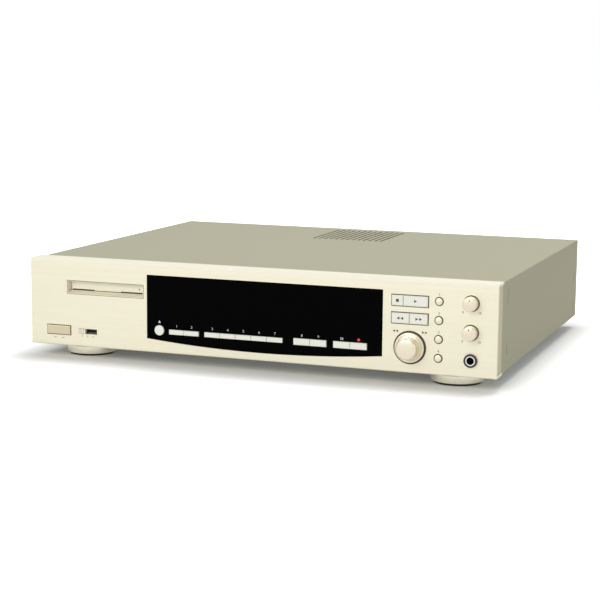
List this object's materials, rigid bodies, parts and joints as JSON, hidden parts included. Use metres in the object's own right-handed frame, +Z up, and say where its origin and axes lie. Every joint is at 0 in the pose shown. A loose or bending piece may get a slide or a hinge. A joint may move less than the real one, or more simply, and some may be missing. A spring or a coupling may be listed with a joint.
{
  "type": "minidisc deck",
  "caption": "Full-width disc recorder deck with a front slot behind a sprung flap, smoked display window, keys, jog dial, level knobs and a headphone socket.",
  "frame": {"origin": "on the surface the foot pads stand on, under the middle of the whole box", "axes": "+X to the right of the front panel, +Y from the front panel to the rear, +Z up"},
  "size_m": [0.44, 0.378, 0.092],
  "materials": {
    "panel_metal": "fine brushed, clear champagne anodised",
    "champagne_mould": "satin champagne paint on moulding",
    "key_cream": "satin cream",
    "knob_gold": "satin turned",
    "window_acrylic": "polished smoked acrylic",
    "cover_paint": "fine textured khaki champagne paint",
    "zinc_steel": "zinc plated sheet",
    "bright_steel": "polished",
    "screw_steel": "yellow passivated",
    "foot_gold": "bright champagne ring",
    "pad_rubber": "matt",
    "board_green": "solder mask",
    "part_black": "moulded",
    "jack_black": "moulded",
    "jack_metal": "plated",
    "tube_glass": "clear dark",
    "transformer_iron": "varnished laminations",
    "fin_aluminium": "extruded"
  },
  "bodies": {
    "deck": {"front_panel": "panel_metal", "front_subpanel": "champagne_mould", "slot_bezel": "champagne_mould", "display_window": "window_acrylic", "front_board": "board_green", "key_switches": "part_black", "panel_switches": "part_black", "display_tube": "tube_glass", "jog_encoder": "jack_metal", "level_controls": "jack_metal", "phones_jack": "jack_metal", "top_cover": "cover_paint", "bottom_chassis": "zinc_steel", "rear_panel": "zinc_steel", "jack_block": "jack_black", "optical_sockets": "part_black", "mains_inlet": "part_black", "feet": "foot_gold", "foot_pads": "pad_rubber", "case_screws": "screw_steel", "main_board": "board_green", "board_parts": "part_black", "power_transformer": "transformer_iron", "heat_sink": "fin_aluminium", "mech_chassis": "zinc_steel", "mech_motors": "bright_steel", "guide_rods": "bright_steel"},
    "edit_key_1": {"edit_key_1": "key_cream"},
    "edit_key_2": {"edit_key_2": "key_cream"},
    "mode_key_1": {"mode_key_1": "key_cream"},
    "mode_key_2": {"mode_key_2": "key_cream"},
    "mode_key_3": {"mode_key_3": "key_cream"},
    "mode_key_4": {"mode_key_4": "key_cream"},
    "mode_key_5": {"mode_key_5": "key_cream"},
    "title_key_1": {"title_key_1": "key_cream"},
    "title_key_2": {"title_key_2": "key_cream"},
    "pause_key": {"pause_key": "key_cream"},
    "record_key": {"record_key": "key_cream"},
    "stop_key": {"stop_key": "key_cream"},
    "play_key": {"play_key": "key_cream"},
    "rewind_key": {"rewind_key": "key_cream"},
    "forward_key": {"forward_key": "key_cream"},
    "eject_button": {"eject_button": "key_cream"},
    "round_button_1": {"round_button_1": "knob_gold"},
    "round_button_2": {"round_button_2": "knob_gold"},
    "round_button_3": {"round_button_3": "knob_gold"},
    "round_button_4": {"round_button_4": "knob_gold"},
    "power_button": {"power_button": "champagne_mould"},
    "timer_switch_knob": {"timer_switch_knob": "champagne_mould"},
    "jog_dial": {"jog_dial": "knob_gold"},
    "record_level_knob": {"record_level_knob": "knob_gold"},
    "phones_level_knob": {"phones_level_knob": "knob_gold"},
    "slot_door": {"slot_door": "champagne_mould"},
    "loading_slider": {"loading_slider": "zinc_steel"},
    "cartridge_holder": {"cartridge_holder": "zinc_steel"},
    "loading_gear": {"loading_gear": "part_black"},
    "turntable": {"turntable": "bright_steel"},
    "pickup_sled": {"pickup_sled": "part_black"},
    "lead_screw": {"lead_screw": "bright_steel"},
    "head_arm": {"head_arm": "zinc_steel"}
  },
  "joints": [
    {"name": "edit_key_1_press", "type": "slide", "parent": "deck", "child": "edit_key_1", "axis": [0, 1, 0], "range_m": [0, 0.0007], "stiffness_N_per_m": 400},
    {"name": "edit_key_2_press", "type": "slide", "parent": "deck", "child": "edit_key_2", "axis": [0, 1, 0], "range_m": [0, 0.0007], "stiffness_N_per_m": 400},
    {"name": "mode_key_1_press", "type": "slide", "parent": "deck", "child": "mode_key_1", "axis": [0, 1, 0], "range_m": [0, 0.0007], "stiffness_N_per_m": 400},
    {"name": "mode_key_2_press", "type": "slide", "parent": "deck", "child": "mode_key_2", "axis": [0, 1, 0], "range_m": [0, 0.0007], "stiffness_N_per_m": 400},
    {"name": "mode_key_3_press", "type": "slide", "parent": "deck", "child": "mode_key_3", "axis": [0, 1, 0], "range_m": [0, 0.0007], "stiffness_N_per_m": 400},
    {"name": "mode_key_4_press", "type": "slide", "parent": "deck", "child": "mode_key_4", "axis": [0, 1, 0], "range_m": [0, 0.0007], "stiffness_N_per_m": 400},
    {"name": "mode_key_5_press", "type": "slide", "parent": "deck", "child": "mode_key_5", "axis": [0, 1, 0], "range_m": [0, 0.0007], "stiffness_N_per_m": 400},
    {"name": "title_key_1_press", "type": "slide", "parent": "deck", "child": "title_key_1", "axis": [0, 1, 0], "range_m": [0, 0.0007], "stiffness_N_per_m": 400},
    {"name": "title_key_2_press", "type": "slide", "parent": "deck", "child": "title_key_2", "axis": [0, 1, 0], "range_m": [0, 0.0007], "stiffness_N_per_m": 400},
    {"name": "pause_key_press", "type": "slide", "parent": "deck", "child": "pause_key", "axis": [0, 1, 0], "range_m": [0, 0.0007], "stiffness_N_per_m": 400},
    {"name": "record_key_press", "type": "slide", "parent": "deck", "child": "record_key", "axis": [0, 1, 0], "range_m": [0, 0.0007], "stiffness_N_per_m": 400},
    {"name": "stop_key_press", "type": "slide", "parent": "deck", "child": "stop_key", "axis": [0, 1, 0], "range_m": [0, 0.0007], "stiffness_N_per_m": 400},
    {"name": "play_key_press", "type": "slide", "parent": "deck", "child": "play_key", "axis": [0, 1, 0], "range_m": [0, 0.0007], "stiffness_N_per_m": 400},
    {"name": "rewind_key_press", "type": "slide", "parent": "deck", "child": "rewind_key", "axis": [0, 1, 0], "range_m": [0, 0.0007], "stiffness_N_per_m": 400},
    {"name": "forward_key_press", "type": "slide", "parent": "deck", "child": "forward_key", "axis": [0, 1, 0], "range_m": [0, 0.0007], "stiffness_N_per_m": 400},
    {"name": "eject_button_press", "type": "slide", "parent": "deck", "child": "eject_button", "axis": [0, 1, 0], "range_m": [0, 0.0007], "stiffness_N_per_m": 400},
    {"name": "round_button_1_press", "type": "slide", "parent": "deck", "child": "round_button_1", "axis": [0, 1, 0], "range_m": [0, 0.0007], "stiffness_N_per_m": 400},
    {"name": "round_button_2_press", "type": "slide", "parent": "deck", "child": "round_button_2", "axis": [0, 1, 0], "range_m": [0, 0.0007], "stiffness_N_per_m": 400},
    {"name": "round_button_3_press", "type": "slide", "parent": "deck", "child": "round_button_3", "axis": [0, 1, 0], "range_m": [0, 0.0007], "stiffness_N_per_m": 400},
    {"name": "round_button_4_press", "type": "slide", "parent": "deck", "child": "round_button_4", "axis": [0, 1, 0], "range_m": [0, 0.0007], "stiffness_N_per_m": 400},
    {"name": "power_button_press", "type": "slide", "parent": "deck", "child": "power_button", "axis": [0, 1, 0], "range_m": [0, 0.003], "stiffness_N_per_m": 300},
    {"name": "timer_switch_slide", "type": "slide", "parent": "deck", "child": "timer_switch_knob", "axis": [1, 0, 0], "range_m": [0, 0.0113]},
    {"name": "jog_turn", "type": "hinge", "parent": "deck", "child": "jog_dial", "pos_m": [0.1444, -0.175, 0.0339], "axis": [0, 1, 0], "continuous": true},
    {"name": "record_level_knob_turn", "type": "hinge", "parent": "deck", "child": "record_level_knob", "pos_m": [0.1973, -0.175, 0.075], "axis": [0, 1, 0], "range_deg": [-150, 150]},
    {"name": "phones_level_knob_turn", "type": "hinge", "parent": "deck", "child": "phones_level_knob", "pos_m": [0.1973, -0.175, 0.0502], "axis": [0, 1, 0], "range_deg": [-150, 150]},
    {"name": "slot_door_swing", "type": "hinge", "parent": "deck", "child": "slot_door", "pos_m": [-0.14385, -0.1696, 0.071], "axis": [1, 0, 0], "range_deg": [0, 80], "stiffness_Nm_per_rad": 0.0005, "springref_deg": -20.05},
    {"name": "loading_slide", "type": "slide", "parent": "deck", "child": "loading_slider", "axis": [0, 1, 0], "range_m": [0, 0.02]},
    {"name": "holder_drop", "type": "slide", "parent": "deck", "child": "cartridge_holder", "axis": [0, 0, -1], "range_m": [0, 0.006]},
    {"name": "loading_gear_turn", "type": "hinge", "parent": "deck", "child": "loading_gear", "pos_m": [-0.18455, -0.112, 0.0368], "axis": [1, 0, 0], "range_deg": [-165, 0]},
    {"name": "turntable_spin", "type": "hinge", "parent": "deck", "child": "turntable", "pos_m": [-0.14385, -0.124, 0.0596], "axis": [0, 0, 1], "continuous": true},
    {"name": "sled_travel", "type": "slide", "parent": "deck", "child": "pickup_sled", "axis": [1, 0, 0], "range_m": [0, 0.015]},
    {"name": "lead_screw_turn", "type": "hinge", "parent": "deck", "child": "lead_screw", "pos_m": [-0.14385, -0.109, 0.052], "axis": [1, 0, 0], "continuous": true},
    {"name": "head_arm_lower", "type": "hinge", "parent": "pickup_sled", "child": "head_arm", "pos_m": [-0.12135, -0.0818, 0.0754], "axis": [1, 0, 0], "range_deg": [0, 8], "stiffness_Nm_per_rad": 0.03, "springref_deg": -8.59}
  ],
  "couplings": [
    {"joint": "holder_drop", "follows": "loading_slide", "ratio": 0.3},
    {"joint": "loading_gear_turn", "follows": "loading_slide", "rad_per_m": -138.89},
    {"joint": "lead_screw_turn", "follows": "sled_travel", "rad_per_m": 2094.4}
  ]
}
